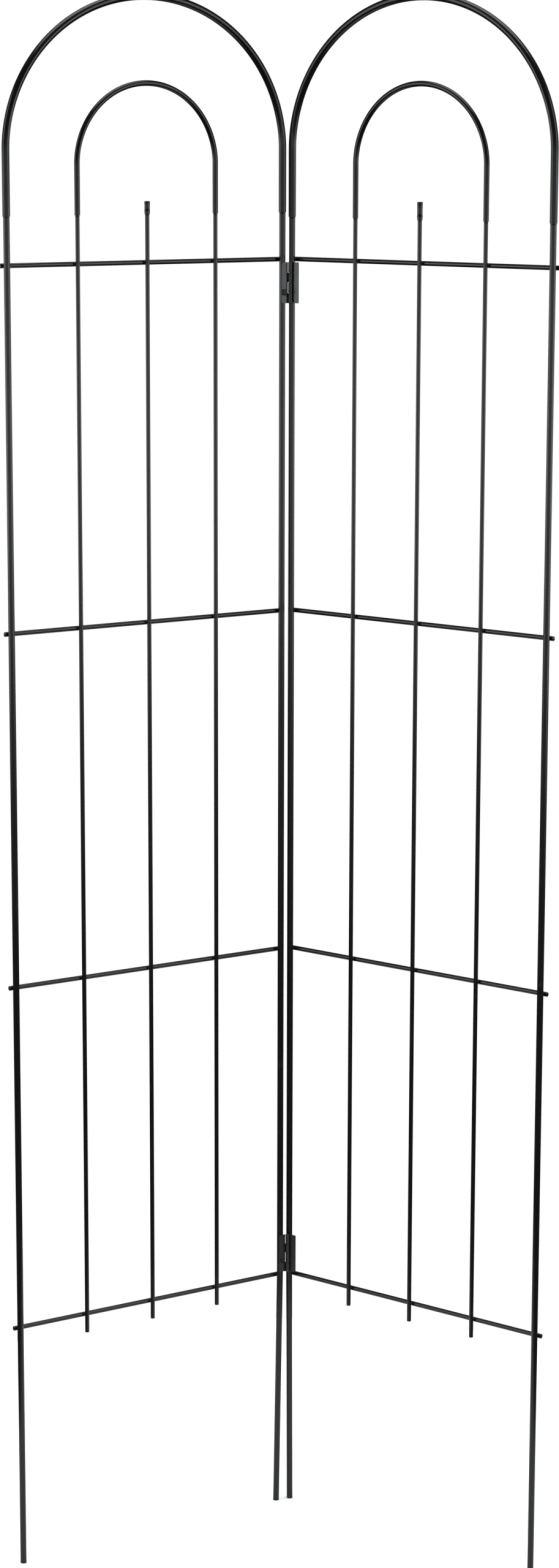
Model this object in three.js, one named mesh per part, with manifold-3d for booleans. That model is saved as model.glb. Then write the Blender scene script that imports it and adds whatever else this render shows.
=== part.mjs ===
// Two-panel folding garden trellis with arched tops, in steel rod and tube.
//
// Millimetres, +Z up. The two panels stand as a V seen from above. The inside of the V
// faces -Y, and the hinge line is at the back. Each panel is two legs, three inner rods
// and four crossbars welded across their outside, with a bent tube pushed down over the
// leg tops and a smaller one over the tops of two inner rods. Two butt hinges join the
// panels: their right leaves are welded to one leg, their left leaves screwed to the other.
//
// A panel is drawn in its own frame, whose Z axis is the hinge pin: "along" runs out from
// the pin to the far leg, and "inward" points at the inside of the V. The legs lie behind
// the pin, at a negative inward value.

import * as THREE from 'three';
import { mergeVertices } from 'three/addons/utils/BufferGeometryUtils.js';
import Module from 'manifold-3d';

const wasm = await Module();
wasm.setup();

const deg = THREE.MathUtils.degToRad;

// ---------------------------------------------------------------- driving dimensions

const PLAY = 0.3;                 // clearance between pieces that touch or slide

const PANEL_WIDTH = 360;          // outer leg axis to hinge leg axis
const UPRIGHT_PITCH = PANEL_WIDTH / 4;
const PANEL_ANGLE = deg(35);      // each panel from the X axis

const LEG_DIAMETER = 7.4;
const ROD_DIAMETER = 5.0;
const BAR_DIAMETER = 5.4;
const OUTER_TUBE_DIAMETER = 8.9;
const INNER_TUBE_DIAMETER = 6.4;
const TUBE_WALL = 0.8;

const ROD_FOOT_HEIGHT = 270;      // inner rods end above the ground, the legs go down to it
const OUTER_SPIGOT_LENGTH = 40;
const INNER_SPIGOT_LENGTH = 28;
const SPIGOT_CHAMFER = 0.8;

const LOWEST_BAR_HEIGHT = 291;
const BAR_PITCH = 411;
const BAR_COUNT = 4;
const BAR_PAST_OUTER_LEG = 5.5;   // bar ends beyond the two leg axes
const BAR_PAST_HINGE_LEG = 2.5;

const OUTER_SPRING_HEIGHT = 1648; // top of each outer tube's straight tails
const OUTER_RISE = 170;           // spring line to crown: a little flatter than a half circle
const INNER_SPRING_HEIGHT = 1633;

const CAP_TOP_HEIGHT = 1592.6;
const CAP_TOP_THICKNESS = 1.6;

const HINGE_HEIGHT = 47;
const HINGE_TOP_UPPER = 1520.8;   // just under the top crossbar
const HINGE_TOP_LOWER = 344;      // just over the lowest crossbar
const LEAF_LENGTH = 10.5;         // pin axis to leaf edge
const LEAF_THICKNESS = 1.0;
const KNUCKLE_RADIUS = 2.6;
const KNUCKLE_COUNT = 4;
const KNUCKLE_GAP = 0.4;
const PLATE_START = 2.4;          // flat part's edge beside the other leaf's knuckles
const PIN_DIAMETER = 2.4;
const PIN_HEAD_DIAMETER = 4.0;
const PIN_HEAD_HEIGHT = 0.9;

const SCREW_DROP = 0.73 * HINGE_HEIGHT;   // hinge top to screw axis
const SCREW_DIAMETER = 3.0;
const SCREW_HEAD_DIAMETER = 7.4;
const SCREW_HEAD_HEIGHT = 2.0;
const SCREW_TIP_DEPTH = 0.6;      // how far the tip stops inside the far side of the leg

const SIDES = 16;                 // facets around a rod
const TUBE_SIDES = 12;            // facets around a bent tube

// ------------------------------------------------------------- dimensions that follow

// The leaves lie on the legs, level with the back of the knuckles.
const PIN_TO_LEG_PLANE = LEG_DIAMETER / 2 + PLAY + KNUCKLE_RADIUS;
const PIN_TO_BAR_PLANE = PIN_TO_LEG_PLANE + LEG_DIAMETER / 2 + PLAY + BAR_DIAMETER / 2;
const PIN_TO_ROD_PLANE = PIN_TO_BAR_PLANE - BAR_DIAMETER / 2 - PLAY - ROD_DIAMETER / 2;

const LEG_SPIGOT_DIAMETER = spigotDiameter(OUTER_TUBE_DIAMETER);
const ROD_SPIGOT_DIAMETER = spigotDiameter(INNER_TUBE_DIAMETER);

// The two hinge legs stand at different distances from the pin. The left one lies under
// the middle of its leaf, and the right one passes behind the knuckles. Below the lowest
// crossbar each bends away from the other, to footSplay at the ground. The shoulder is the
// height where legs and rods narrow to fit inside the tubes: it is higher on the left.
const PANELS = [
  {
    name: 'left', mirror: 1, turn: Math.PI + PANEL_ANGLE,
    hingeLegAlong: 6.9, footSplay: 5, shoulder: 1577.5,
  },
  {
    name: 'right', mirror: -1, turn: -PANEL_ANGLE,
    hingeLegAlong: -2.6, footSplay: 1.7, shoulder: 1572,
  },
];

const HINGES = [
  { name: 'upper', top: HINGE_TOP_UPPER },
  { name: 'lower', top: HINGE_TOP_LOWER },
];

// ------------------------------------------------------------------------- materials

function finish(color, roughness, metalness) {
  return () => new THREE.MeshStandardMaterial({ color, roughness, metalness });
}

const powderCoat = finish(0x1b1b1d, 0.42, 0.35);
const hingeBlack = finish(0x202022, 0.5, 0.4);
const blackSteel = finish(0x151517, 0.38, 0.8);

// --------------------------------------------------------------------- geometry tools

// Diameter of the spigot that slides into a tube: its bore less the play on both sides.
function spigotDiameter(tubeDiameter) {
  return tubeDiameter - 2 * TUBE_WALL - 2 * PLAY;
}

// A closed solid turned about Z from [radius, height] points that start and end on the axis.
function turned(profile, sides = SIDES) {
  const points = profile.map(([radius, height]) => new THREE.Vector2(radius, height));
  const geometry = new THREE.LatheGeometry(points, sides);
  geometry.rotateX(Math.PI / 2);
  return positionsOnly(geometry);
}

// Merges shared corners and drops the empty triangles that a lathe leaves on its axis.
function positionsOnly(geometry) {
  geometry.deleteAttribute('normal');
  geometry.deleteAttribute('uv');
  const merged = mergeVertices(geometry, 1e-4);
  const index = merged.index.array;
  const kept = [];
  for (let i = 0; i < index.length; i += 3) {
    const [a, b, c] = [index[i], index[i + 1], index[i + 2]];
    if (a !== b && b !== c && c !== a) kept.push(a, b, c);
  }
  merged.setIndex(kept);
  return merged;
}

function toSolid(geometry) {
  const merged = positionsOnly(geometry.clone());
  return new wasm.Manifold(new wasm.Mesh({
    numProp: 3,
    vertProperties: new Float32Array(merged.attributes.position.array),
    triVerts: new Uint32Array(merged.index.array),
  }));
}

function toGeometry(solid) {
  const mesh = solid.getMesh();
  const geometry = new THREE.BufferGeometry();
  geometry.setAttribute('position', new THREE.BufferAttribute(new Float32Array(mesh.vertProperties), 3));
  geometry.setIndex(Array.from(mesh.triVerts));
  return geometry;
}

function block(fromAlong, toAlong, fromInward, toInward, fromZ, toZ) {
  const geometry = new THREE.BoxGeometry(toAlong - fromAlong, Math.abs(toInward - fromInward), toZ - fromZ);
  geometry.translate((fromAlong + toAlong) / 2, (fromInward + toInward) / 2, (fromZ + toZ) / 2);
  return geometry;
}

function uprightCylinder(radius, fromZ, toZ) {
  const geometry = new THREE.CylinderGeometry(radius, radius, toZ - fromZ, SIDES);
  geometry.rotateX(Math.PI / 2);
  geometry.translate(0, 0, (fromZ + toZ) / 2);
  return geometry;
}

// A cylinder across the panel, for a hole drilled from its inside face to its outside.
function crossDrill(along, height, radius) {
  const geometry = new THREE.CylinderGeometry(radius, radius, 80, SIDES);
  geometry.translate(along, 0, height);
  return geometry;
}

function ring(outerRadius, innerRadius, sides) {
  const shape = new THREE.Shape();
  const hole = new THREE.Path();
  for (let i = 0; i < sides; i += 1) {
    const angle = ((i + 0.5) / sides) * 2 * Math.PI;
    const [x, y] = [Math.cos(angle), Math.sin(angle)];
    if (i === 0) {
      shape.moveTo(outerRadius * x, outerRadius * y);
      hole.moveTo(innerRadius * x, innerRadius * y);
    } else {
      shape.lineTo(outerRadius * x, outerRadius * y);
      hole.lineTo(innerRadius * x, innerRadius * y);
    }
  }
  shape.closePath();
  hole.closePath();
  shape.holes.push(hole);
  return shape;
}

// The centreline of a bent tube: up, over half an ellipse, and down again.
class ArchCurve extends THREE.Curve {
  constructor(halfWidth, rise, footHeight, springHeight) {
    super();
    this.halfWidth = halfWidth;
    this.rise = rise;
    this.footHeight = footHeight;
    this.springHeight = springHeight;
    this.tail = springHeight - footHeight;
    this.bend = Math.PI * Math.sqrt((halfWidth ** 2 + rise ** 2) / 2);
  }

  getPoint(t, target = new THREE.Vector3()) {
    const distance = t * (2 * this.tail + this.bend);
    if (distance <= this.tail) {
      return target.set(this.halfWidth, 0, this.footHeight + distance);
    }
    if (distance >= this.tail + this.bend) {
      return target.set(-this.halfWidth, 0, this.springHeight - (distance - this.tail - this.bend));
    }
    const angle = ((distance - this.tail) / this.bend) * Math.PI;
    const height = this.springHeight + this.rise * Math.sin(angle);
    return target.set(this.halfWidth * Math.cos(angle), 0, height);
  }
}

// ---------------------------------------------------------------------- panel pieces

// The ring of points at the lowest crossbar is where a hinge leg bends.
function upright(diameter, spigot, fromZ, shoulder, topZ) {
  const radius = diameter / 2;
  return turned([
    [0, fromZ],
    [radius, fromZ],
    [radius, LOWEST_BAR_HEIGHT],
    [radius, shoulder],
    [spigot / 2, shoulder],
    [spigot / 2, topZ - SPIGOT_CHAMFER],
    [spigot / 2 - SPIGOT_CHAMFER, topZ],
    [0, topZ],
  ]);
}

function straightLeg({ shoulder }) {
  return upright(LEG_DIAMETER, LEG_SPIGOT_DIAMETER, 0, shoulder, shoulder + OUTER_SPIGOT_LENGTH);
}

function bentLeg(panel) {
  const leg = straightLeg(panel);
  const points = leg.attributes.position;
  for (let i = 0; i < points.count; i += 1) {
    const drop = Math.max(0, 1 - points.getZ(i) / LOWEST_BAR_HEIGHT);
    points.setX(i, points.getX(i) + panel.footSplay * drop);
  }
  return leg;
}

// The left hinge leg is drilled for the two hinge screws. Its axis is at along = 0 here.
function hingeLeg(panel) {
  const leg = bentLeg(panel);
  if (panel.name !== 'left') return leg;
  let solid = toSolid(leg);
  for (const hinge of HINGES) {
    const drill = crossDrill(0, hinge.top - SCREW_DROP, SCREW_DIAMETER / 2 + PLAY);
    solid = solid.subtract(toSolid(drill));
  }
  return toGeometry(solid);
}

function innerRod({ shoulder }) {
  const spigotTop = shoulder + INNER_SPIGOT_LENGTH;
  return upright(ROD_DIAMETER, ROD_SPIGOT_DIAMETER, ROD_FOOT_HEIGHT, shoulder, spigotTop);
}

// The centre rod's shorter spigot stops inside its blind cap.
function centreRod({ shoulder }) {
  const spigotTop = CAP_TOP_HEIGHT - CAP_TOP_THICKNESS - PLAY;
  return upright(ROD_DIAMETER, ROD_SPIGOT_DIAMETER, ROD_FOOT_HEIGHT, shoulder, spigotTop);
}

function rodCap({ shoulder }) {
  const outer = INNER_TUBE_DIAMETER / 2;
  const bore = ROD_SPIGOT_DIAMETER / 2 + PLAY;
  const bottom = shoulder + PLAY;
  const rounding = 0.7;
  const ceiling = CAP_TOP_HEIGHT - CAP_TOP_THICKNESS;
  return turned([
    [0, ceiling],
    [bore, ceiling],
    [bore, bottom],
    [outer, bottom],
    [outer, CAP_TOP_HEIGHT - rounding],
    [outer - rounding, CAP_TOP_HEIGHT],
    [0, CAP_TOP_HEIGHT],
  ]);
}

function bentTube(panel, diameter, halfWidth, rise, springHeight, steps) {
  // The bore's flats, not its corners, keep their distance from the round spigot.
  const boreRadius = (diameter / 2 - TUBE_WALL) / Math.cos(Math.PI / TUBE_SIDES);
  const path = new ArchCurve(halfWidth, rise, panel.shoulder + PLAY, springHeight);
  const section = ring(diameter / 2, boreRadius, TUBE_SIDES);
  return new THREE.ExtrudeGeometry(section, { steps, bevelEnabled: false, extrudePath: path });
}

function outerArch(panel) {
  return bentTube(panel, OUTER_TUBE_DIAMETER, PANEL_WIDTH / 2, OUTER_RISE, OUTER_SPRING_HEIGHT, 42);
}

function innerArch(panel) {
  const radius = UPRIGHT_PITCH;
  return bentTube(panel, INNER_TUBE_DIAMETER, radius, radius, INNER_SPRING_HEIGHT, 36);
}

function crossbar() {
  const length = PANEL_WIDTH + BAR_PAST_OUTER_LEG + BAR_PAST_HINGE_LEG;
  const geometry = new THREE.CylinderGeometry(BAR_DIAMETER / 2, BAR_DIAMETER / 2, length, SIDES);
  geometry.rotateZ(Math.PI / 2);
  geometry.translate(length / 2 - BAR_PAST_HINGE_LEG, 0, 0);
  return geometry;
}

// ---------------------------------------------------------------------- hinge pieces

// A flat leaf whose knuckles curl round the pin. Knuckles are numbered from the top:
// the right leaf has the first and third, the left leaf the second and fourth.
function hingeLeaf(hinge, panel) {
  const firstKnuckle = panel.name === 'right' ? 0 : 1;
  const bottom = hinge.top - HINGE_HEIGHT;
  const back = -panel.mirror * KNUCKLE_RADIUS;
  const front = back + panel.mirror * LEAF_THICKNESS;
  const pitch = (HINGE_HEIGHT + KNUCKLE_GAP) / KNUCKLE_COUNT;
  let solid = toSolid(block(PLATE_START, LEAF_LENGTH, back, front, bottom, hinge.top));
  for (let i = firstKnuckle; i < KNUCKLE_COUNT; i += 2) {
    const knuckleTop = hinge.top - i * pitch;
    const knuckleBottom = knuckleTop - pitch + KNUCKLE_GAP;
    const curl = toSolid(uprightCylinder(KNUCKLE_RADIUS, knuckleBottom, knuckleTop));
    const web = toSolid(block(0, PLATE_START + 1, back, front, knuckleBottom, knuckleTop));
    const bore = toSolid(uprightCylinder(PIN_DIAMETER / 2 + PLAY, knuckleBottom - 1, knuckleTop + 1));
    solid = solid.add(curl.add(web)).subtract(bore);
  }
  if (panel.name === 'left') {
    const hole = crossDrill(panel.hingeLegAlong, hinge.top - SCREW_DROP, SCREW_DIAMETER / 2 + PLAY);
    solid = solid.subtract(toSolid(hole));
  }
  return toGeometry(solid);
}

function hingePin(hinge) {
  const shank = PIN_DIAMETER / 2;
  const head = PIN_HEAD_DIAMETER / 2;
  const low = hinge.top - HINGE_HEIGHT - PLAY;
  const high = hinge.top + PLAY;
  return turned([
    [0, low - PIN_HEAD_HEIGHT],
    [head * 0.7, low - PIN_HEAD_HEIGHT],
    [head, low - PIN_HEAD_HEIGHT / 2],
    [head, low],
    [shank, low],
    [shank, high],
    [head, high],
    [head, high + PIN_HEAD_HEIGHT / 2],
    [head * 0.7, high + PIN_HEAD_HEIGHT],
    [0, high + PIN_HEAD_HEIGHT],
  ]);
}

// Where the screw head sits, inward of the pin axis, and its reach into the drilled leg.
const HEAD_SEAT = LEAF_THICKNESS - KNUCKLE_RADIUS + PLAY;
const SCREW_LENGTH = HEAD_SEAT + PIN_TO_LEG_PLANE + LEG_DIAMETER / 2 - SCREW_TIP_DEPTH;

// Its axis is Z, with the underside of the head at zero and the shank below it.
function panScrew() {
  const shank = SCREW_DIAMETER / 2;
  const head = SCREW_HEAD_DIAMETER / 2;
  return turned([
    [0, -SCREW_LENGTH],
    [shank - 0.4, -SCREW_LENGTH],
    [shank, 0.4 - SCREW_LENGTH],
    [shank, 0],
    [head, 0],
    [head, SCREW_HEAD_HEIGHT * 0.45],
    [head * 0.82, SCREW_HEAD_HEIGHT * 0.82],
    [head * 0.5, SCREW_HEAD_HEIGHT],
    [0, SCREW_HEAD_HEIGHT],
  ]);
}

// -------------------------------------------------------------------------- assembly

function place(group, name, geometry, material, along, inward, height, mirror) {
  const mesh = new THREE.Mesh(geometry, material);
  mesh.name = name;
  mesh.position.set(along, mirror * inward, height);
  group.add(mesh);
  return mesh;
}

function addFrame(group, panel) {
  const hingeLegAlong = panel.hingeLegAlong;
  const outerLegAlong = hingeLegAlong + PANEL_WIDTH;
  const middle = hingeLegAlong + PANEL_WIDTH / 2;
  const add = (piece, geometry, along, inward, height = 0) => {
    place(group, `${panel.name}_${piece}`, geometry, powderCoat(), along, inward, height, panel.mirror);
  };
  add('outer_leg', straightLeg(panel), outerLegAlong, -PIN_TO_LEG_PLANE);
  add('hinge_leg', hingeLeg(panel), hingeLegAlong, -PIN_TO_LEG_PLANE);
  add('rod_outer', innerRod(panel), middle + UPRIGHT_PITCH, -PIN_TO_ROD_PLANE);
  add('rod_centre', centreRod(panel), middle, -PIN_TO_ROD_PLANE);
  add('rod_hinge', innerRod(panel), middle - UPRIGHT_PITCH, -PIN_TO_ROD_PLANE);
  add('rod_cap', rodCap(panel), middle, -PIN_TO_ROD_PLANE);
  add('outer_arch', outerArch(panel), middle, -PIN_TO_LEG_PLANE);
  add('inner_arch', innerArch(panel), middle, -PIN_TO_ROD_PLANE);
  for (let i = 0; i < BAR_COUNT; i += 1) {
    const height = LOWEST_BAR_HEIGHT + i * BAR_PITCH;
    add(`crossbar_${i + 1}`, crossbar(), hingeLegAlong, -PIN_TO_BAR_PLANE, height);
  }
}

function addHingeSide(group, panel, hinge) {
  const label = `hinge_${hinge.name}`;
  place(group, `${label}_${panel.name}_leaf`, hingeLeaf(hinge, panel), hingeBlack(), 0, 0, 0, 1);
  if (panel.name === 'right') {
    place(group, `${label}_pin`, hingePin(hinge), blackSteel(), 0, 0, 0, 1);
    return;
  }
  const screw = place(
    group, `${label}_screw`, panScrew(), blackSteel(),
    panel.hingeLegAlong, HEAD_SEAT, hinge.top - SCREW_DROP, panel.mirror,
  );
  screw.rotation.x = deg(-90);
}

function buildTrellis() {
  const trellis = new THREE.Group();
  for (const panel of PANELS) {
    const group = new THREE.Group();
    group.rotation.z = panel.turn;
    addFrame(group, panel);
    for (const hinge of HINGES) addHingeSide(group, panel, hinge);
    trellis.add(group);
  }
  return trellis;
}

// The origin is on the ground, under the middle of the trellis.
function standOnOrigin(object) {
  object.updateMatrixWorld(true);
  const box = new THREE.Box3().setFromObject(object, true);
  const centre = box.getCenter(new THREE.Vector3());
  object.position.set(-centre.x, -centre.y, -box.min.z);
  return object;
}

export default standOnOrigin(buildTrellis());
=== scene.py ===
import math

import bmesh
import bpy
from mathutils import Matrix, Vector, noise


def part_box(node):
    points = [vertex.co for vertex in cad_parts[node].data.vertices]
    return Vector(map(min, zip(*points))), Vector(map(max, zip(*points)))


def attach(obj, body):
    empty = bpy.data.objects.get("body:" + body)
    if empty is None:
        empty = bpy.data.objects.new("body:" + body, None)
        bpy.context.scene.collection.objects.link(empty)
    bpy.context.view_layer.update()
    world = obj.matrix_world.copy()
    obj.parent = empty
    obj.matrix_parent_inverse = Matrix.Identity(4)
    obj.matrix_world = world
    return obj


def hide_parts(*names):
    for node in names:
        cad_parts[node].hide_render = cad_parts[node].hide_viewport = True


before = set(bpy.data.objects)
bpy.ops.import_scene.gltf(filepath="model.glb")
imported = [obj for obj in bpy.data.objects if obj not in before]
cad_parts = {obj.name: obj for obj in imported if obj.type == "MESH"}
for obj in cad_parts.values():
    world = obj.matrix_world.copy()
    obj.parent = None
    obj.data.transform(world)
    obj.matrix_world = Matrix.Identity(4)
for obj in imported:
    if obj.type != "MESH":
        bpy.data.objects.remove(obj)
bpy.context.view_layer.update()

# Looks of the folding arched garden trellis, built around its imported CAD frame.
#
# Metres, +Z up. Two panels of rods stand in a V, open towards -Y and hinged together at the
# back. Every visible piece stands for one CAD node and rides on that node's body; the weld
# beads, which CAD leaves out, ride on the panel they hold together. A panel's own directions
# are "along" (hinge leg to outer leg), "inward" (towards the inside of the V) and up.

# ------------------------------------------------------------------ sections and details

PLAY = 0.0003                       # clearance that CAD leaves where two pieces touch
LEG_RADIUS = 0.0037
ROD_RADIUS = 0.0025
BAR_RADIUS = 0.0027
OUTER_TUBE_RADIUS = 0.00438
INNER_TUBE_RADIUS = 0.0032
TUBE_WALL = 0.0008
OUTER_SPRING = 1.648                # height where a bent tube's straight tails end
INNER_SPRING = 1.633
CUT_ROUND = 0.0004                  # softened edge of a cut rod or tube
SPIGOT_LEAD = 0.0008                # taper at a spigot's tip
KEEP_STRAIGHT = 0.0012              # extra ring this far from a rounded end, for true shading
BAR_PAST_OUTER_LEG = 0.0055
BAR_PAST_HINGE_LEG = 0.0025
FOOT_SPLAY = {"left": 0.005, "right": 0.0017}   # lean of a hinge leg's foot, at the ground

LEAF_LENGTH = 0.0105                # pin axis to leaf edge
LEAF_THICKNESS = 0.001
LEAF_CORNER = 0.0012
LEAF_EDGE_ROUND = 0.00014
PLATE_START = 0.0024                # flat part's edge beside the other leaf's knuckles
KNUCKLE_RADIUS = 0.0026
KNUCKLE_COUNT = 4
KNUCKLE_GAP = 0.0004
CURL_END = math.radians(20)         # where a curl stops short of its own plate
PIN_RADIUS = 0.0012
PIN_HEAD_RADIUS = 0.002
PIN_HEAD_HEIGHT = 0.0009
PIN_DOME = 0.75                     # domed share of a pin head's height

SCREW_RADIUS = 0.0015
SCREW_HEAD_RADIUS = 0.0037
SCREW_HEAD_HEIGHT = 0.002
SCREW_HEAD_FLAT = 0.42              # flat share of the head's side and top; a round joins them
SCREW_HEAD_EDGE = 0.0001            # chamfer round the underside of the head
SCREW_TIP_DEPTH = 0.0006            # how far the tip stops inside the far side of the leg
SCREW_TIP_TAPER = 0.0005
THREAD_PITCH = 0.0008
THREAD_DEPTH = 0.0003
THREAD_LENGTH = 0.0058              # from the tip
THREAD_STEPS = 8                    # rings for each turn of thread
DRILL_REACH = 0.02                  # how far the screw's hole is cut each way from the pin's plane

BEAD_RADIUS = 0.00205               # weld bead round the contact of a bar and an upright
BEAD_LUMPS = 0.13                   # how uneven that radius is
BEAD_SUNK = 0.00025                 # how deep the bead's rims go into both bars
BEAD_CORE = 0.0005                  # how deep its middle goes

ROUND_SIDES = 40                    # facets around a rod or tube
SHARP = 35                          # degrees between faces from which an edge is shaded sharp
SAME_PLACE = 1e-6                   # heights and lengths closer than this are equal
UP = Vector((0, 0, 1))

UPRIGHTS = (                        # part, its radius, and the radius of the tube or cap on top
    ("outer_leg", LEG_RADIUS, OUTER_TUBE_RADIUS),
    ("hinge_leg", LEG_RADIUS, OUTER_TUBE_RADIUS),
    ("rod_outer", ROD_RADIUS, INNER_TUBE_RADIUS),
    ("rod_centre", ROD_RADIUS, INNER_TUBE_RADIUS),
    ("rod_hinge", ROD_RADIUS, INNER_TUBE_RADIUS),
)
BAR_NUMBERS = range(1, 5)           # crossbars, counted from the ground


# ------------------------------------------------------------------------ the CAD's places

def middle(node):
    low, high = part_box(node)
    return (low + high) / 2


class Panel:
    """One panel's directions, and the places of its pieces as the CAD frame has them."""

    def __init__(self, side):
        self.side = side
        self.body = f"{side}_panel"
        self.outer_leg = middle(f"{side}_outer_leg")
        self.hinge_leg = 2 * middle(f"{side}_outer_arch") - self.outer_leg
        self.lowest_bar = middle(f"{side}_crossbar_1").z
        span = self.outer_leg - self.hinge_leg
        span.z = 0
        self.width = span.length
        self.along = span.normalized()
        across = UP.cross(self.along)
        self.inward = across if across.y < 0 else -across
        self.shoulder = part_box(f"{side}_outer_arch")[0].z - PLAY

    def axis_of(self, part):
        """A point on an upright's axis above its bend."""
        return self.hinge_leg.copy() if part == "hinge_leg" else middle(f"{self.side}_{part}")

    def axes_at(self, origin):
        """Matrix from (along, inward, up) about origin to the frame's own x, y and z."""
        turn = Matrix((self.along, self.inward, UP)).transposed().to_4x4()
        return Matrix.Translation(origin) @ turn


PANELS = [Panel("left"), Panel("right")]


# -------------------------------------------------------------------------- mesh building

def arc(centre_radius, centre_height, radius, start, end, steps=4):
    """(radius, height) points on part of a circle, from start to end degrees."""
    points = []
    for i in range(steps + 1):
        angle = math.radians(start + (end - start) * i / steps)
        points.append((centre_radius + radius * math.cos(angle), centre_height + radius * math.sin(angle)))
    return points


def ring_of(bm, centre, first, second, radius, sides):
    """A circle of vertices in the plane of two unit directions."""
    ring = []
    for i in range(sides):
        angle = 2 * math.pi * i / sides
        ring.append(bm.verts.new(centre + radius * (math.cos(angle) * first + math.sin(angle) * second)))
    return ring


def bridge(bm, ring, next_ring):
    """Faces between two closed rings; either may be a single point."""
    count = max(len(ring), len(next_ring))
    for i in range(count):
        corners = [ring[i % len(ring)], ring[(i + 1) % len(ring)]]
        corners += [next_ring[(i + 1) % len(next_ring)], next_ring[i % len(next_ring)]]
        bm.faces.new(list(dict.fromkeys(corners)))


def turned(profile, sides=ROUND_SIDES, radius_at=None):
    """A solid turned about Z from (radius, height) points that start and end on the axis."""
    bm = bmesh.new()
    rings = []
    for radius, height in profile:
        if radius < SAME_PLACE:
            rings.append([bm.verts.new((0, 0, height))])
            continue
        ring = []
        for i in range(sides):
            angle = 2 * math.pi * i / sides
            reach = radius_at(radius, height, angle) if radius_at else radius
            ring.append(bm.verts.new((reach * math.cos(angle), reach * math.sin(angle), height)))
        rings.append(ring)
    for ring, next_ring in zip(rings, rings[1:]):
        bridge(bm, ring, next_ring)
    return bm


def piece_from(bm, name, matrix=None, sharp=SHARP):
    """The bmesh as a shaded object, with its faces pointing out."""
    if matrix is not None:
        bm.transform(matrix)
    bmesh.ops.recalc_face_normals(bm, faces=bm.faces)
    if bm.calc_volume(signed=True) < 0:
        bmesh.ops.reverse_faces(bm, faces=bm.faces)
    mesh = bpy.data.meshes.new(name)
    bm.to_mesh(mesh)
    bm.free()
    mesh.shade_smooth()
    mesh.set_sharp_from_angle(angle=math.radians(sharp))
    piece = bpy.data.objects.new(name, mesh)
    bpy.context.scene.collection.objects.link(piece)
    return piece


def carve(piece, tool_bm):
    """Cuts the solid in tool_bm out of a piece."""
    tool = piece_from(tool_bm, "tool")
    modifier = piece.modifiers.new("carve", "BOOLEAN")
    modifier.operation = "DIFFERENCE"
    modifier.solver = "EXACT"
    modifier.object = tool
    graph = bpy.context.evaluated_depsgraph_get()
    carved = bpy.data.meshes.new_from_object(piece.evaluated_get(graph))
    piece.modifiers.clear()
    old = piece.data
    piece.data = carved
    carved.set_sharp_from_angle(angle=math.radians(SHARP))
    bpy.data.meshes.remove(old)
    bpy.data.objects.remove(tool)


def soften(piece, width):
    """Rounds the sharp edges of a piece."""
    modifier = piece.modifiers.new("soften", "BEVEL")
    modifier.width = width
    modifier.segments = 2
    modifier.limit_method = "ANGLE"
    modifier.angle_limit = math.radians(40)
    modifier.harden_normals = True


def dress(piece, body, slot, nodes=()):
    """Gives a piece its body and its material slot, and hides the CAD nodes that it stands for."""
    piece.data.materials.clear()
    piece.data.materials.append(MATERIALS[slot])
    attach(piece, body)
    if nodes:
        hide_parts(*nodes)


# ------------------------------------------------------------------------------ materials

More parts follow.
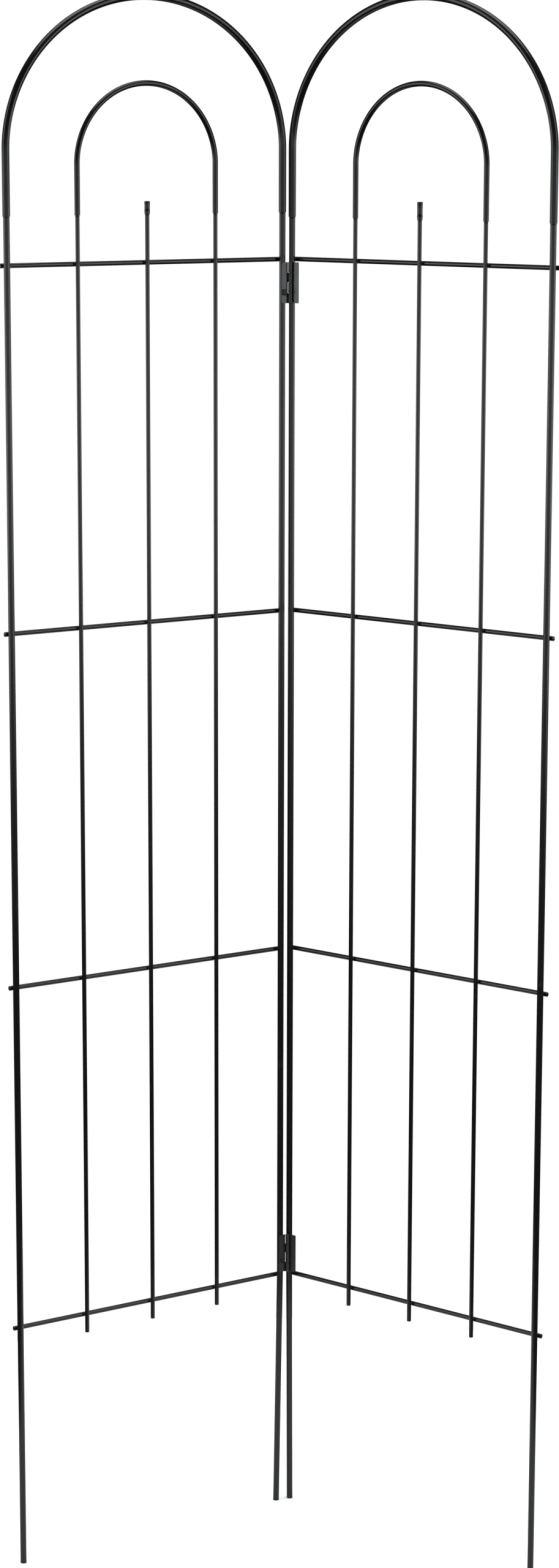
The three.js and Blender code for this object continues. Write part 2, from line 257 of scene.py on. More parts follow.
class Shader:
    """A material's node tree, with short calls for the nodes that these coats use."""

    def __init__(self, name):
        self.material = bpy.data.materials.new(name)
        self.material.use_nodes = True
        self.tree = self.material.node_tree
        self.surface = self.tree.nodes["Principled BSDF"]
        self.place = self.tree.nodes.new("ShaderNodeTexCoord").outputs["Object"]

    def link(self, source, target):
        self.tree.links.new(source, target)

    def noise(self, scale, detail=2.0, rough=0.5, place=None):
        """Cloudy noise around 0.5, with this many blotches to the metre."""
        node = self.tree.nodes.new("ShaderNodeTexNoise")
        node.inputs["Scale"].default_value = scale
        node.inputs["Detail"].default_value = detail
        node.inputs["Roughness"].default_value = rough
        self.link(place or self.place, node.inputs["Vector"])
        return node.outputs["Fac"]

    def cells(self, scale):
        """Distance to the nearest of many scattered points: small inside a speck."""
        node = self.tree.nodes.new("ShaderNodeTexVoronoi")
        node.inputs["Scale"].default_value = scale
        self.link(self.place, node.inputs["Vector"])
        return node.outputs["Distance"]

    def stretched(self, x, y, z):
        """The piece's own coordinates, scaled along each axis."""
        node = self.tree.nodes.new("ShaderNodeMapping")
        node.inputs["Scale"].default_value = (x, y, z)
        self.link(self.place, node.inputs["Vector"])
        return node.outputs["Vector"]

    def ramp(self, value, start, end, low, high):
        """Low up to start, high from end, and a straight change in between."""
        node = self.tree.nodes.new("ShaderNodeMapRange")
        for socket, number in (("From Min", start), ("From Max", end), ("To Min", low), ("To Max", high)):
            node.inputs[socket].default_value = number
        self.link(value, node.inputs["Value"])
        return node.outputs["Result"]

    def maths(self, operation, first, second):
        """Two values, each a number or an output, put through one operation."""
        node = self.tree.nodes.new("ShaderNodeMath")
        node.operation = operation
        for socket, source in zip(node.inputs, (first, second)):
            if isinstance(source, (int, float)):
                socket.default_value = source
            else:
                self.link(source, socket)
        return node.outputs["Value"]

    def blend(self, amount, first, second):
        """From the first colour to the second by amount; each is a colour or an output."""
        node = self.tree.nodes.new("ShaderNodeMix")
        node.data_type = "RGBA"
        self.link(amount, node.inputs["Factor"])
        for name, source in (("A", first), ("B", second)):
            socket = next(s for s in node.inputs if s.name == name and s.type == "RGBA")
            if isinstance(source, tuple):
                socket.default_value = (*source, 1)
            else:
                self.link(source, socket)
        return next(s for s in node.outputs if s.type == "RGBA")

    def bump(self, height, distance, strength=1.0, under=None):
        """Relief of this height in metres, on top of another relief if there is one."""
        node = self.tree.nodes.new("ShaderNodeBump")
        node.inputs["Strength"].default_value = strength
        node.inputs["Distance"].default_value = distance
        self.link(height, node.inputs["Height"])
        if under is not None:
            self.link(under, node.inputs["Normal"])
        return node.outputs["Normal"]


def powder_coat(name, dark, light, roughness, gloss, peel_scale):
    """Satin powder coat: orange peel, fine grit, uneven depth, a little dust and scuffing."""
    dust_colour = (0.07, 0.067, 0.062)
    scuff_colour = (0.03, 0.03, 0.031)
    scuff_roughness = 0.18
    s = Shader(name)
    depth = s.ramp(s.noise(14, 3), 0.35, 0.65, 0, 1)
    colour = s.blend(depth, dark, light)
    dust = s.ramp(s.cells(520), 0.05, 0.16, 0.5, 0)
    dusty_places = s.ramp(s.noise(46, 4, 0.6), 0.5, 0.68, 0, 1)
    colour = s.blend(s.maths("MULTIPLY", dust, dusty_places), colour, dust_colour)
    scuff = s.ramp(s.noise(85, 6, 0.72, s.stretched(1, 1, 0.35)), 0.62, 0.74, 0, 0.5)
    colour = s.blend(scuff, colour, scuff_colour)
    grit = s.noise(4200, 1)
    satin = s.ramp(grit, 0.3, 0.7, roughness - 0.04, roughness + 0.05)
    satin = s.maths("ADD", satin, s.maths("MULTIPLY", scuff, scuff_roughness))
    s.link(colour, s.surface.inputs["Base Color"])
    s.link(satin, s.surface.inputs["Roughness"])
    peel = s.bump(s.noise(peel_scale, 2, 0.45), 0.00002)
    s.link(s.bump(grit, 0.000004, 0.6, peel), s.surface.inputs["Normal"])
    s.surface.inputs["Specular IOR Level"].default_value = gloss
    return s.material


def hinge_coat():
    """Thin black coat over pressed steel: rolling lines up the leaf, and lighter patches that are partly
    rubbed wear and partly painted highlight.
    """
    dark = (0.007, 0.007, 0.0075)
    light = (0.016, 0.016, 0.0165)
    # Colour of the lighter patches: partly rubbed wear, partly painted highlight.
    wear_and_highlight_colour = (0.035, 0.035, 0.036)
    s = Shader("hinge_coat")
    lines = s.noise(240, 4, 0.6, s.stretched(6, 6, 0.25))
    colour = s.blend(s.ramp(lines, 0.35, 0.7, 0, 1), dark, light)
    # Lighter patches at random over the leaf, partly rubbed wear and partly painted highlight.
    wear_and_highlight = s.ramp(s.noise(150, 5, 0.7), 0.58, 0.72, 0, 0.5)
    colour = s.blend(wear_and_highlight, colour, wear_and_highlight_colour)
    satin = s.ramp(s.noise(1900, 2), 0.3, 0.7, 0.27, 0.38)
    s.link(colour, s.surface.inputs["Base Color"])
    s.link(satin, s.surface.inputs["Roughness"])
    s.surface.inputs["Specular IOR Level"].default_value = 0.42
    press = s.bump(lines, 0.00003)
    s.link(s.bump(s.noise(1100, 2), 0.00002, 0.7, press), s.surface.inputs["Normal"])
    return s.material


def fastener_black():
    """Oiled black-oxide steel, with tool marks and a few bright rubs."""
    blue_black = (0.014, 0.014, 0.0155)
    brown_black = (0.032, 0.031, 0.03)
    bare_steel = (0.12, 0.116, 0.112)
    s = Shader("fastener_black")
    stain = s.ramp(s.noise(380, 4, 0.6), 0.35, 0.68, 0, 1)
    colour = s.blend(stain, blue_black, brown_black)
    rub = s.ramp(s.noise(900, 3, 0.7), 0.66, 0.76, 0, 0.6)
    colour = s.blend(rub, colour, bare_steel)
    s.link(colour, s.surface.inputs["Base Color"])
    s.link(s.ramp(stain, 0, 1, 0.28, 0.42), s.surface.inputs["Roughness"])
    s.surface.inputs["Metallic"].default_value = 0.75
    s.link(s.bump(s.noise(2600, 2), 0.000015, 0.8), s.surface.inputs["Normal"])
    return s.material


MATERIALS = {
    "frame_coat": powder_coat(
        "frame_coat", dark=(0.003, 0.003, 0.0033), light=(0.005, 0.005, 0.0053),
        roughness=0.19, gloss=0.3, peel_scale=950,
    ),
    "tube_coat": powder_coat(
        "tube_coat", dark=(0.003, 0.003, 0.0028), light=(0.005, 0.0049, 0.0045),
        roughness=0.2, gloss=0.26, peel_scale=800,
    ),
    "hinge_coat": hinge_coat(),
    "fastener_black": fastener_black(),
}


# -------------------------------------------------------------------------- rods and bars

def upright(panel, part, radius, tube_radius):
    """A leg or inner rod: cut foot, shoulder, and the spigot that its tube or cap slips over."""
    node = f"{panel.side}_{part}"
    low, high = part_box(node)
    spigot = tube_radius - TUBE_WALL - PLAY
    shoulder_round = CUT_ROUND / 2
    profile = [
        (0, low.z),
        *arc(radius - CUT_ROUND, low.z + CUT_ROUND, CUT_ROUND, -90, 0),
        (radius, low.z + CUT_ROUND + KEEP_STRAIGHT),
        (radius, panel.lowest_bar - KEEP_STRAIGHT),
        (radius, panel.lowest_bar),
        (radius, panel.lowest_bar + KEEP_STRAIGHT),
        (radius, panel.shoulder - CUT_ROUND - KEEP_STRAIGHT),
        *arc(radius - shoulder_round, panel.shoulder - shoulder_round, shoulder_round, 0, 90),
        (spigot, panel.shoulder),
        (spigot, high.z - SPIGOT_LEAD),
        (spigot - SPIGOT_LEAD, high.z),
        (0, high.z),
    ]
    bm = turned(profile)
    if part == "hinge_leg":
        for vert in bm.verts:
            drop = max(0.0, 1 - vert.co.z / panel.lowest_bar)
            vert.co += panel.along * FOOT_SPLAY[panel.side] * drop
    axis = panel.axis_of(part)
    axis.z = 0
    return piece_from(bm, f"{node}_rod", Matrix.Translation(axis))


def crossbar(panel, number):
    """A straight bar behind the uprights, cut a little past the leg at each end."""
    node = f"{panel.side}_crossbar_{number}"
    length = panel.width + BAR_PAST_OUTER_LEG + BAR_PAST_HINGE_LEG
    profile = [
        (0, 0),
        *arc(BAR_RADIUS - CUT_ROUND, CUT_ROUND, CUT_ROUND, -90, 0),
        (BAR_RADIUS, CUT_ROUND + KEEP_STRAIGHT),
        (BAR_RADIUS, length - CUT_ROUND - KEEP_STRAIGHT),
        *arc(BAR_RADIUS - CUT_ROUND, length - CUT_ROUND, CUT_ROUND, 0, 90),
        (0, length),
    ]
    start = middle(node) - panel.along * length / 2
    lie_along = panel.along.to_track_quat("Z", "Y").to_matrix().to_4x4()
    return piece_from(turned(profile), f"{node}_bar", Matrix.Translation(start) @ lie_along)


# ---------------------------------------------------------------------------- bent tubes

def arch_line(half_width, rise, foot, spring, bend_steps=96, tail_steps=3):
    """The tube's centreline and the outward direction along it, in (along, up)."""
    line = []
    for i in range(tail_steps):
        line.append((Vector((half_width, foot + (spring - foot) * i / tail_steps)), Vector((1, 0))))
    for i in range(bend_steps + 1):
        angle = math.pi * i / bend_steps
        point = Vector((half_width * math.cos(angle), spring + rise * math.sin(angle)))
        outward = Vector((rise * math.cos(angle), half_width * math.sin(angle))).normalized()
        line.append((point, outward))
    for i in range(1, tail_steps + 1):
        line.append((Vector((-half_width, spring - (spring - foot) * i / tail_steps)), Vector((-1, 0))))
    return line


def bent_tube(panel, part, tube_radius, spring, half_width):
    """A hollow tube bent into an arch, open at both tails with softened lips."""
    node = f"{panel.side}_{part}"
    low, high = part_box(node)
    rise = high.z - spring - tube_radius
    line = arch_line(half_width, rise, low.z, spring)
    bore = tube_radius - TUBE_WALL
    lip = TUBE_WALL / 4
    bm = bmesh.new()

    def station(point, outward, radius, lift=0.0):
        place = Vector((point.x, 0, point.y + lift))
        return ring_of(bm, place, Vector((outward.x, 0, outward.y)), Vector((0, 1, 0)), radius, ROUND_SIDES)

    def wall(radius, lip_radius):
        lifts = (lip, lip + KEEP_STRAIGHT)
        rings = [station(*line[0], lip_radius)]
        rings += [station(*line[0], radius, lift) for lift in lifts]
        rings += [station(point, outward, radius) for point, outward in line[1:-1]]
        rings += [station(*line[-1], radius, lift) for lift in reversed(lifts)]
        rings.append(station(*line[-1], lip_radius))
        for ring, next_ring in zip(rings, rings[1:]):
            bridge(bm, ring, next_ring)
        return rings

    outer = wall(tube_radius, tube_radius - lip)
    inner = wall(bore, bore + lip)
    bridge(bm, outer[0], inner[0])
    bridge(bm, outer[-1], inner[-1])
    centre = middle(node)
    centre.z = 0
    return piece_from(bm, f"{node}_tube", panel.axes_at(centre))


def rod_cap(panel):
    """A blind cap pressed over the centre rod, domed on top, with a crimp near its mouth."""
    node = f"{panel.side}_rod_cap"
    low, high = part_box(node)
    bore = INNER_TUBE_RADIUS - TUBE_WALL
    bore_top = high.z - 2 * TUBE_WALL
    lip = CUT_ROUND / 2
    dome = 0.0011
    crimp_bottom = low.z + 0.0045
    crimp_length = 0.0016
    crimp_depth = 0.00022
    crimp_steps = 8
    profile = [
        (0, bore_top),
        (bore, bore_top),
        (bore, low.z + lip),
        (bore + lip, low.z),
        *arc(INNER_TUBE_RADIUS - lip, low.z + lip, lip, -90, 0),
    ]
    for i in range(crimp_steps + 1):
        share = i / crimp_steps
        dip = crimp_depth * math.sin(math.pi * share) ** 2
        profile.append((INNER_TUBE_RADIUS - dip, crimp_bottom + crimp_length * share))
    # The dome stops at 78 degrees, so that its top is nearly flat.
    profile += arc(INNER_TUBE_RADIUS - dome, high.z - dome, dome, 0, 78, 6)
    profile.append((0, high.z))
    centre = middle(node)
    centre.z = 0
    return piece_from(turned(profile), f"{node}_shell", Matrix.Translation(centre), sharp=50)


# ------------------------------------------------------------------------------ the welds

def weld_bead(bm, origin, panel, upright_radius, seed):
    """A closed fillet round the contact of an upright and the bar behind it."""
    outward = -panel.inward
    steps = 28
    lump_scale = 2.1
    gap = PLAY / 2
    # Level runs from -1 on the upright to 1 on the bar; spread is the waisted bead's share of its radius.
    belts = ((-1.0, 1.16), (-0.62, 0.99), (0.0, 0.92), (0.62, 0.99), (1.0, 1.16))
    rings = []
    for level, spread in belts:
        ring = []
        for i in range(steps):
            angle = 2 * math.pi * i / steps
            lump = noise.noise(Vector((lump_scale * math.cos(angle), lump_scale * math.sin(angle), seed)))
            reach = BEAD_RADIUS * spread * (1 + BEAD_LUMPS * lump)
            across = reach * math.cos(angle)
            upward = reach * math.sin(angle)
            near = -gap - (upright_radius - math.sqrt(upright_radius ** 2 - across ** 2))
            far = gap + (BAR_RADIUS - math.sqrt(BAR_RADIUS ** 2 - upward ** 2))
            height = near + (far - near) * (level + 1) / 2 + BEAD_SUNK * level * abs(level) ** 6
            ring.append(bm.verts.new(origin + across * panel.along + upward * UP + height * outward))
        rings.append(ring)
    for ring, next_ring in zip(rings, rings[1:]):
        bridge(bm, ring, next_ring)
    bridge(bm, rings[0], [bm.verts.new(origin - (gap + BEAD_CORE) * outward)])
    bridge(bm, rings[-1], [bm.verts.new(origin + (gap + BEAD_CORE) * outward)])


def weld_beads(panel):
    """The beads of one panel: one wherever a bar crosses a leg or rod."""
    first_seed = 50 if panel.side == "left" else 0
    bm = bmesh.new()
    for number in BAR_NUMBERS:
        bar = middle(f"{panel.side}_crossbar_{number}")
        for place, (part, radius, _) in enumerate(UPRIGHTS):
            axis = panel.axis_of(part)
            axis.z = bar.z
            contact = axis - panel.inward * (radius + PLAY / 2)
            weld_bead(bm, contact, panel, radius, first_seed + 10 * number + place)
    return piece_from(bm, f"{panel.side}_weld_beads", sharp=180)


# ----------------------------------------------------------------------------- the hinges

class Hinge:
    """One hinge's pin axis, and the heights of its leaves and screw."""

    def __init__(self, name):
        self.name = name
        self.pin = middle(f"hinge_{name}_pin")
        self.pin.z = 0
        low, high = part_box(f"hinge_{name}_left_leaf")
        self.bottom = low.z
        self.top = high.z
        self.height = high.z - low.z
        self.screw_height = middle(f"hinge_{name}_screw").z

    def knuckle(self, index):
        """(bottom, top) of a knuckle, counted from the top."""
        pitch = (self.height + KNUCKLE_GAP) / KNUCKLE_COUNT
        top = self.top - index * pitch
        return top - pitch + KNUCKLE_GAP, top

    def screw_place(self, panel, inward):
        """A point on the screw's axis, given how far it is inward of the pin."""
        leg_along = (panel.hinge_leg - self.pin).dot(panel.along)
        return self.pin + panel.along * leg_along + panel.inward * inward + UP * self.screw_height


HINGES = [Hinge("upper"), Hinge("lower")]


def leaf_section():
    """The sheet's middle line in (along, inward), and how many of its steps are in the flat plate.

    The line runs from the leaf's edge to the start of the knuckles, and then round the pin. Each point
    comes with the direction that its front face looks in.
    """
    plane = LEAF_THICKNESS / 2 - KNUCKLE_RADIUS
    front = Vector((0, 1))
    plate_steps = 4
    line = []
    for i in range(plate_steps + 1):
        along = LEAF_LENGTH + i * (PLATE_START - LEAF_LENGTH) / plate_steps
        line.append((Vector((along, plane)), front))
    line.append((Vector((PLATE_START / 2, plane)), front))
    curl_steps = 22
    for i in range(curl_steps + 1):
        angle = -math.pi / 2 - (3 * math.pi / 2 + CURL_END) * i / curl_steps
        outward = Vector((math.cos(angle), math.sin(angle)))
        line.append((-plane * outward, -outward))
    return line, plate_steps


def leaf_rows(hinge, first):
    """Heights between a leaf's rows, from the top, and whether each row has a knuckle.

    The leaf has every second knuckle of the hinge, starting with number first.
    """
    heights = [hinge.top]
    has_knuckle = []
    for index in range(first, KNUCKLE_COUNT, 2):
        bottom, top = hinge.knuckle(index)
        if top < hinge.top:
            heights.append(top)
            has_knuckle.append(False)
        heights.append(bottom)
        has_knuckle.append(True)
    if heights[-1] > hinge.bottom + SAME_PLACE:
        heights.append(hinge.bottom)
        has_knuckle.append(False)
    return heights, has_knuckle


def leaf_sheet(line, plate_steps, heights, has_knuckle):
    """The closed sheet that fills the plate in every row, and the curl in the rows with a knuckle."""
    bm = bmesh.new()
    verts = {}

    def corner(column, row, side):
        key = (column, row, side)
        if key not in verts:
            point, front = line[column]
            offset = point + front * side * LEAF_THICKNESS / 2
            verts[key] = bm.verts.new((offset.x, offset.y, heights[row]))
        return verts[key]

    def present(column, row):
        if not (0 <= row < len(has_knuckle) and 0 <= column < len(line) - 1):
            return False
        return column < plate_steps or has_knuckle[row]

    for column in range(len(line) - 1):
        for row in range(len(has_knuckle)):
            if not present(column, row):
                continue
            for side in (-1, 1):
                bm.faces.new([
                    corner(column, row, side), corner(column + 1, row, side),
                    corner(column + 1, row + 1, side), corner(column, row + 1, side),
                ])
            edges = (
                (present(column, row - 1), (column, row), (column + 1, row)),
                (present(column, row + 1), (column, row + 1), (column + 1, row + 1)),
                (present(column - 1, row), (column, row), (column, row + 1)),
                (present(column + 1, row), (column + 1, row), (column + 1, row + 1)),
            )
            for inside, start, end in edges:
                if not inside:
                    bm.faces.new([corner(*start, -1), corner(*end, -1), corner(*end, 1), corner(*start, 1)])
    bmesh.ops.recalc_face_normals(bm, faces=bm.faces)
    return bm


def round_leaf_corners(bm, heights):
    """Rounds the leaf's two outer corners."""
    ends = (heights[0], heights[-1])

    def at_corner(edge):
        first, second = (vert.co for vert in edge.verts)
        at_edge = all(abs(place.x - LEAF_LENGTH) < SAME_PLACE for place in (first, second))
        level = abs(first.z - second.z) < SAME_PLACE
        return at_edge and level and min(abs(first.z - end) for end in ends) < SAME_PLACE

    tips = [edge for edge in bm.edges if at_corner(edge)]
    bmesh.ops.bevel(bm, geom=tips, offset=LEAF_CORNER, segments=5, affect="EDGES", profile=0.5)


def hinge_leaf(hinge, panel):
    """A pressed leaf, its knuckles curled round the pin out of the same sheet."""
    heights, has_knuckle = leaf_rows(hinge, 0 if panel.side == "right" else 1)
    bm = leaf_sheet(*leaf_section(), heights, has_knuckle)
    round_leaf_corners(bm, heights)
    name = f"hinge_{hinge.name}_{panel.side}_leaf_sheet"
    piece = piece_from(bm, name, panel.axes_at(hinge.pin))
    if panel.side == "left":
        carve(piece, screw_drill(hinge, panel))
    soften(piece, LEAF_EDGE_ROUND)
    return piece


def screw_axes(hinge, panel, inward):
    """Matrix that stands Z along the screw, head end inward, with its origin on the axis."""
    turn = panel.inward.to_track_quat("Z", "Y").to_matrix().to_4x4()
    return Matrix.Translation(hinge.screw_place(panel, inward)) @ turn


def screw_drill(hinge, panel):
    """The hole that the screw passes through, as a solid to cut with."""
    radius = SCREW_RADIUS + PLAY
    bm = turned([(0, -DRILL_REACH), (radius, -DRILL_REACH), (radius, DRILL_REACH), (0, DRILL_REACH)])
    bm.transform(screw_axes(hinge, panel, 0))
    return bm


def hinge_pin(hinge):
    """A rivet-like pin with a low dome at each end."""
    node = f"hinge_{hinge.name}_pin"
    low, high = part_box(node)
    dome = []
    steps = 6
    for i in range(steps + 1):
        angle = math.pi / 2 * i / steps
        depth = PIN_HEAD_HEIGHT * PIN_DOME * (1 - math.cos(angle))
        dome.append((PIN_HEAD_RADIUS * math.sin(angle), depth))
    profile = [
        *((radius, low.z + depth) for radius, depth in dome),
        (PIN_HEAD_RADIUS, low.z + PIN_HEAD_HEIGHT),
        (PIN_RADIUS, low.z + PIN_HEAD_HEIGHT),
        (PIN_RADIUS, high.z - PIN_HEAD_HEIGHT),
        (PIN_HEAD_RADIUS, high.z - PIN_HEAD_HEIGHT),
        *((radius, high.z - depth) for radius, depth in reversed(dome)),
    ]
    return piece_from(turned(profile, 32), f"{node}_rivet", Matrix.Translation(hinge.pin))


def cross_recess():
    """A tapered cross-shaped driver recess, as a solid to cut with, open at the top."""
    # Length and half the width of an arm, at a height above the head's seat.
    levels = (
        (0.0019, 0.00048, SCREW_HEAD_HEIGHT + 0.0004),
        (0.0017, 0.00042, SCREW_HEAD_HEIGHT * 0.8),
        (0.0006, 0.00026, SCREW_HEAD_HEIGHT * 0.25),
    )
    bm = bmesh.new()
    rings = []
    for arm, half_width, height in levels:
        ring = []
        for quarter in range(4):
            turn = Matrix.Rotation(math.pi / 2 * quarter, 3, "Z")
            for x, y in ((arm, -half_width), (arm, half_width), (half_width, half_width)):
                ring.append(bm.verts.new(turn @ Vector((x, y, height))))
        rings.append(ring)
    for ring, next_ring in zip(rings, rings[1:]):
        bridge(bm, ring, next_ring)
    bm.faces.new(rings[0])
    bm.faces.new(rings[-1])
    return bm


def thread_radius(radius, height, angle):
    """Radius of a threaded shank: ridges that climb one pitch a turn."""
    turn = (height / THREAD_PITCH - angle / (2 * math.pi)) % 1
    return radius - THREAD_DEPTH * (1 - abs(2 * turn - 1))


def pan_screw(hinge, panel):
    """A pan-head screw with a cross recess and a threaded end."""
    head_seat = LEAF_THICKNESS - KNUCKLE_RADIUS + PLAY
    leg_back = (panel.hinge_leg - hinge.pin).dot(panel.inward) - LEG_RADIUS
    shank = head_seat - leg_back - SCREW_TIP_DEPTH
    thread_bottom = SCREW_TIP_TAPER - shank
    thread_top = THREAD_LENGTH - shank
    profile = [
        (0, -shank),
        (SCREW_RADIUS - SCREW_TIP_TAPER, -shank),
        (SCREW_RADIUS, thread_bottom),
    ]
    for i in range(1, round((thread_top - thread_bottom) / THREAD_PITCH * THREAD_STEPS)):
        profile.append((SCREW_RADIUS, thread_bottom + i * THREAD_PITCH / THREAD_STEPS))
    profile += [
        (SCREW_RADIUS, thread_top + THREAD_PITCH / 2),
        (SCREW_RADIUS, 0),
        (SCREW_HEAD_RADIUS - SCREW_HEAD_EDGE, 0),
        (SCREW_HEAD_RADIUS, SCREW_HEAD_EDGE),
        (SCREW_HEAD_RADIUS, SCREW_HEAD_HEIGHT * SCREW_HEAD_FLAT),
    ]
    head_round = arc(SCREW_HEAD_FLAT, SCREW_HEAD_FLAT, 1 - SCREW_HEAD_FLAT, 0, 90, 6)
    for radius_share, height_share in head_round[1:]:
        profile.append((SCREW_HEAD_RADIUS * radius_share, SCREW_HEAD_HEIGHT * height_share))
    profile.append((0, SCREW_HEAD_HEIGHT))

    def shaped(radius, height, angle):
        on_thread = abs(radius - SCREW_RADIUS) < SAME_PLACE and height < thread_top
        return thread_radius(radius, height, angle) if on_thread else radius

    node = f"hinge_{hinge.name}_screw"
    piece = piece_from(turned(profile, 36, shaped), f"{node}_pan_head", sharp=40)
    carve(piece, cross_recess())
    piece.data.transform(screw_axes(hinge, panel, head_seat))
    return piece


def leaf_weld(hinge, panel):
    """A rippled bead up the corner between the welded leaf's back and its leg."""
    leg = panel.hinge_leg - hinge.pin
    leg_middle = Vector((leg.dot(panel.along), leg.dot(panel.inward)))
    leg_reach = 0.93 * LEG_RADIUS       # the bead goes a little into the leg
    on_leg = [
        leg_middle + leg_reach * Vector((math.cos(angle), math.sin(angle)))
        for angle in (math.radians(46), math.radians(20))
    ]
    leaf_back = 0.0002 - KNUCKLE_RADIUS
    weld_start = KNUCKLE_RADIUS + 0.0004
    weld_width = 0.0012
    on_leaf = [Vector((weld_start + weld_width, leaf_back)), Vector((weld_start, leaf_back))]
    bulge = Vector((0.8, -0.6)) * 0.00055
    bulge_steps = 8
    section = [*on_leg]
    for i in range(1, bulge_steps):
        share = i / bulge_steps
        section.append(on_leg[1].lerp(on_leaf[0], share) + bulge * math.sin(math.pi * share))
    section += on_leaf
    heart = sum(section, Vector((0, 0))) / len(section)
    margin = 0.002
    length = hinge.height - 2 * margin
    ripple_pitch = 0.0016
    ripple_size = 0.045                 # shares of the bead's size
    drift_size = 0.07
    end_size = 0.45
    taper_rate = 8
    steps = 90
    bm = bmesh.new()
    rings = []
    for i in range(steps + 1):
        share = i / steps
        height = hinge.bottom + margin + share * length
        ripple = ripple_size * math.sin(share * length / ripple_pitch * 2 * math.pi)
        drift = drift_size * noise.noise(Vector((height * 160, 3.7, 0)))
        taper = min(1.0, taper_rate * min(share, 1 - share) + end_size)
        swell = taper * (1 + ripple + drift)
        rings.append([bm.verts.new((*(heart + (point - heart) * swell), height)) for point in section])
    for ring, next_ring in zip(rings, rings[1:]):
        bridge(bm, ring, next_ring)
    bm.faces.new(rings[0])
    bm.faces.new(rings[-1])
    return piece_from(bm, f"hinge_{hinge.name}_leaf_weld", panel.axes_at(hinge.pin), sharp=60)


# ------------------------------------------------------------------------------- assembly

def make_panel(panel):
    """Uprights, crossbars, cap, beads and bent tubes of one panel."""
    for part, radius, tube_radius in UPRIGHTS:
        piece = upright(panel, part, radius, tube_radius)
        if (panel.side, part) == ("left", "hinge_leg"):     # drilled for both screws
            for hinge in HINGES:
                carve(piece, screw_drill(hinge, panel))
        dress(piece, panel.body, "frame_coat", [f"{panel.side}_{part}"])
    for number in BAR_NUMBERS:
        dress(crossbar(panel, number), panel.body, "frame_coat", [f"{panel.side}_crossbar_{number}"])
    dress(rod_cap(panel), panel.body, "tube_coat", [f"{panel.side}_rod_cap"])
    dress(weld_beads(panel), panel.body, "frame_coat")
    tubes = (
        ("outer_arch", OUTER_TUBE_RADIUS, OUTER_SPRING, panel.width / 2),
        ("inner_arch", INNER_TUBE_RADIUS, INNER_SPRING, panel.width / 4),
    )
    for part, radius, spring, half_width in tubes:
        node = f"{panel.side}_{part}"
        dress(bent_tube(panel, part, radius, spring, half_width), node, "tube_coat", [node])


def make_hinge(hinge):
    """Leaves, pin, weld and screw of one hinge."""
    left, right = PANELS
    label = f"hinge_{hinge.name}"
    for panel in PANELS:
        dress(hinge_leaf(hinge, panel), panel.body, "hinge_coat", [f"{label}_{panel.side}_leaf"])
    dress(hinge_pin(hinge), right.body, "fastener_black", [f"{label}_pin"])
    dress(leaf_weld(hinge, right), right.body, "frame_coat")
    dress(pan_screw(hinge, left), left.body, "fastener_black", [f"{label}_screw"])


for each_panel in PANELS:
    make_panel(each_panel)
for each_hinge in HINGES:
    make_hinge(each_hinge)


# ------------------------------------------------------------------ floor, light, camera

FLOOR_RADIUS = 0.75
FLOOR_SIDES = 96

BAND = 2.3                          # brightness of the studio in a band below eye level
BAND_UPPER = (0.02, -0.055)         # Z of a direction where the band begins, and where it is full
BAND_LOWER = (-0.165, -0.115)
DIM = 0.08                          # brightness everywhere else
OVERHEAD = 3.6                      # evenly from above, mostly for the floor
OVERHEAD_SPREAD = math.radians(60)

SOFT_PANEL = 3.6                    # brightness of the soft panels, one on each side
SOFT_TINT = (0.92, 0.96, 1.0)
SOFT_WIDTH = 1.3
SOFT_HEIGHT = {"left": 2.4, "right": 2.5}
SOFT_AWAY = 2.3                     # to the side
SOFT_FORWARD = 0.85                 # towards the camera
SOFT_RISE = 1.85
SOFT_AIM = (0, 0.1, SOFT_RISE)


def make_floor():
    """A pale round sheet under the feet."""
    bm = bmesh.new()
    edge = ring_of(bm, Vector((0, 0, 0)), Vector((1, 0, 0)), Vector((0, 1, 0)), FLOOR_RADIUS, FLOOR_SIDES)
    bm.faces.new(edge)
    floor = piece_from(bm, "floor")
    white = (0.93, 0.93, 0.93)
    off_white = (0.9, 0.9, 0.9)
    s = Shader("floor_paint")
    mottle = s.blend(s.ramp(s.noise(3, 3), 0.3, 0.7, 0, 1), off_white, white)
    s.link(mottle, s.surface.inputs["Base Color"])
    s.surface.inputs["Roughness"].default_value = 0.9
    s.surface.inputs["Specular IOR Level"].default_value = 0.1
    floor.data.materials.append(s.material)


def eased(tree, value, start, end, low, high):
    """Low up to start, high from end, and an eased change in between."""
    node = tree.nodes.new("ShaderNodeMapRange")
    node.interpolation_type = "SMOOTHSTEP"
    for socket, number in (("From Min", start), ("From Max", end), ("To Min", low), ("To Max", high)):
        node.inputs[socket].default_value = number
    tree.links.new(value, node.inputs["Value"])
    return node.outputs["Result"]


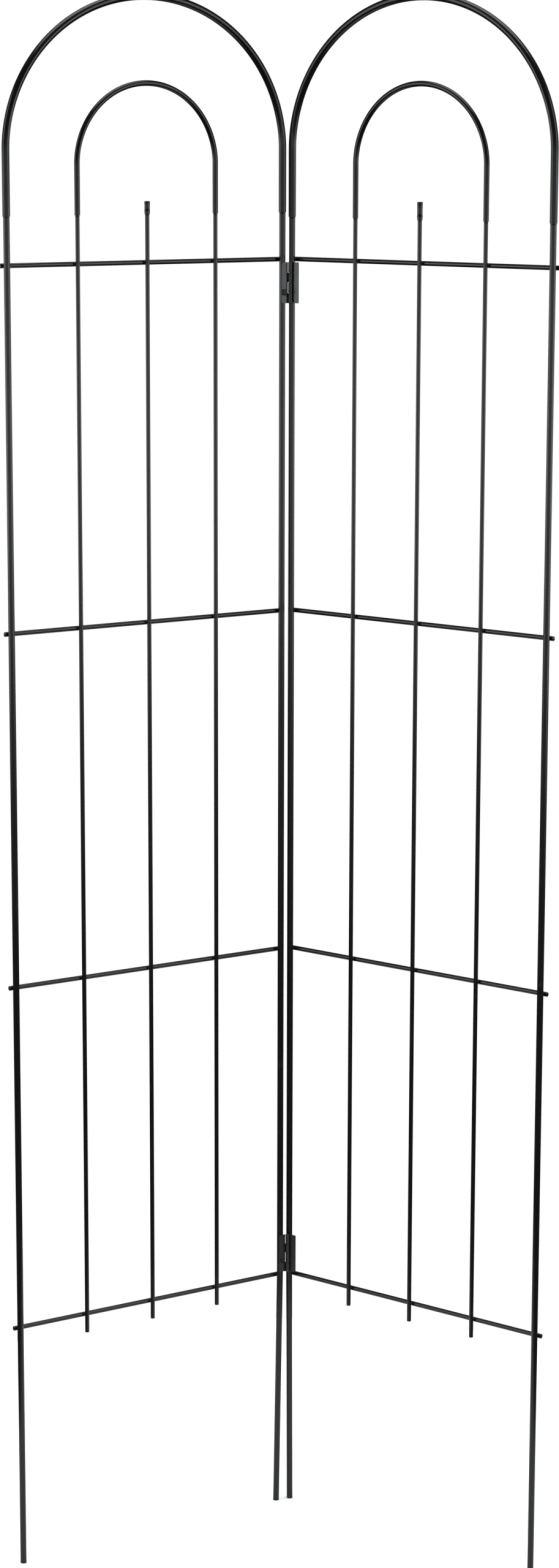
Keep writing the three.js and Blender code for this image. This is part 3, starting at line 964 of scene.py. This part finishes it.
def make_world():
    """White all round to the camera, but a dim studio with a bright band to light the trellis."""
    world = bpy.data.worlds.new("white_studio")
    world.use_nodes = True
    tree = world.node_tree
    direction = tree.nodes.new("ShaderNodeTexCoord").outputs["Generated"]
    split = tree.nodes.new("ShaderNodeSeparateXYZ")
    tree.links.new(direction, split.inputs["Vector"])
    above = eased(tree, split.outputs["Z"], BAND_LOWER[0], BAND_LOWER[1], 0, 1)
    below = eased(tree, split.outputs["Z"], BAND_UPPER[1], BAND_UPPER[0], 1, 0)
    band = tree.nodes.new("ShaderNodeMath")
    band.operation = "MULTIPLY"
    tree.links.new(above, band.inputs[0])
    tree.links.new(below, band.inputs[1])
    glow = eased(tree, band.outputs["Value"], 0, 1, DIM, BAND)
    seen = tree.nodes.new("ShaderNodeLightPath").outputs["Is Camera Ray"]
    strength = tree.nodes.new("ShaderNodeMix")
    strength.inputs["B"].default_value = 1.0
    tree.links.new(seen, strength.inputs["Factor"])
    tree.links.new(glow, strength.inputs["A"])
    background = tree.nodes["Background"]
    background.inputs["Color"].default_value = (1, 1, 1, 1)
    tree.links.new(strength.outputs["Result"], background.inputs["Strength"])
    bpy.context.scene.world = world


def soft_panel(side):
    """A rectangular light beside the trellis, which the camera doesn't see."""
    height = SOFT_HEIGHT[side]
    place = Vector((SOFT_AWAY if side == "right" else -SOFT_AWAY, -SOFT_FORWARD, SOFT_RISE))
    light = bpy.data.lights.new(f"{side}_panel", "AREA")
    light.shape = "RECTANGLE"
    light.size = SOFT_WIDTH
    light.size_y = height
    light.energy = SOFT_PANEL * math.pi * SOFT_WIDTH * height
    light.color = SOFT_TINT
    lamp = bpy.data.objects.new(f"{side}_panel", light)
    lamp.location = place
    lamp.rotation_euler = (Vector(SOFT_AIM) - place).to_track_quat("-Z", "Y").to_euler()
    lamp.visible_camera = False
    bpy.context.scene.collection.objects.link(lamp)


def make_lights():
    overhead = bpy.data.lights.new("overhead", "SUN")
    overhead.energy = OVERHEAD
    overhead.angle = OVERHEAD_SPREAD
    bpy.context.scene.collection.objects.link(bpy.data.objects.new("overhead", overhead))
    soft_panel("left")
    soft_panel("right")


CAMERA_SENSOR = 36                  # millimetres along the picture's long side
CAMERA_LENS = 78.93
CAMERA_FAR = 200
CAMERA_PLACE = (0.1730, -3.9211, 1.6914)
CAMERA_DIP = math.radians(11.06)    # below the horizon
CAMERA_TURN = math.radians(2.57)    # from +Y towards -X
CAMERA_ROLL = math.radians(0.13)


def make_camera():
    camera = bpy.data.cameras.new("camera")
    camera.lens = CAMERA_LENS
    camera.sensor_width = CAMERA_SENSOR
    camera.clip_end = CAMERA_FAR
    holder = bpy.data.objects.new("camera", camera)
    aim = Matrix.Rotation(CAMERA_TURN, 4, "Z") @ Matrix.Rotation(math.pi / 2 - CAMERA_DIP, 4, "X")
    holder.matrix_world = Matrix.Translation(CAMERA_PLACE) @ aim @ Matrix.Rotation(CAMERA_ROLL, 4, "Z")
    bpy.context.scene.collection.objects.link(holder)
    bpy.context.scene.camera = holder


make_floor()
make_world()
make_lights()
make_camera()
bpy.context.scene.view_settings.view_transform = "Standard"
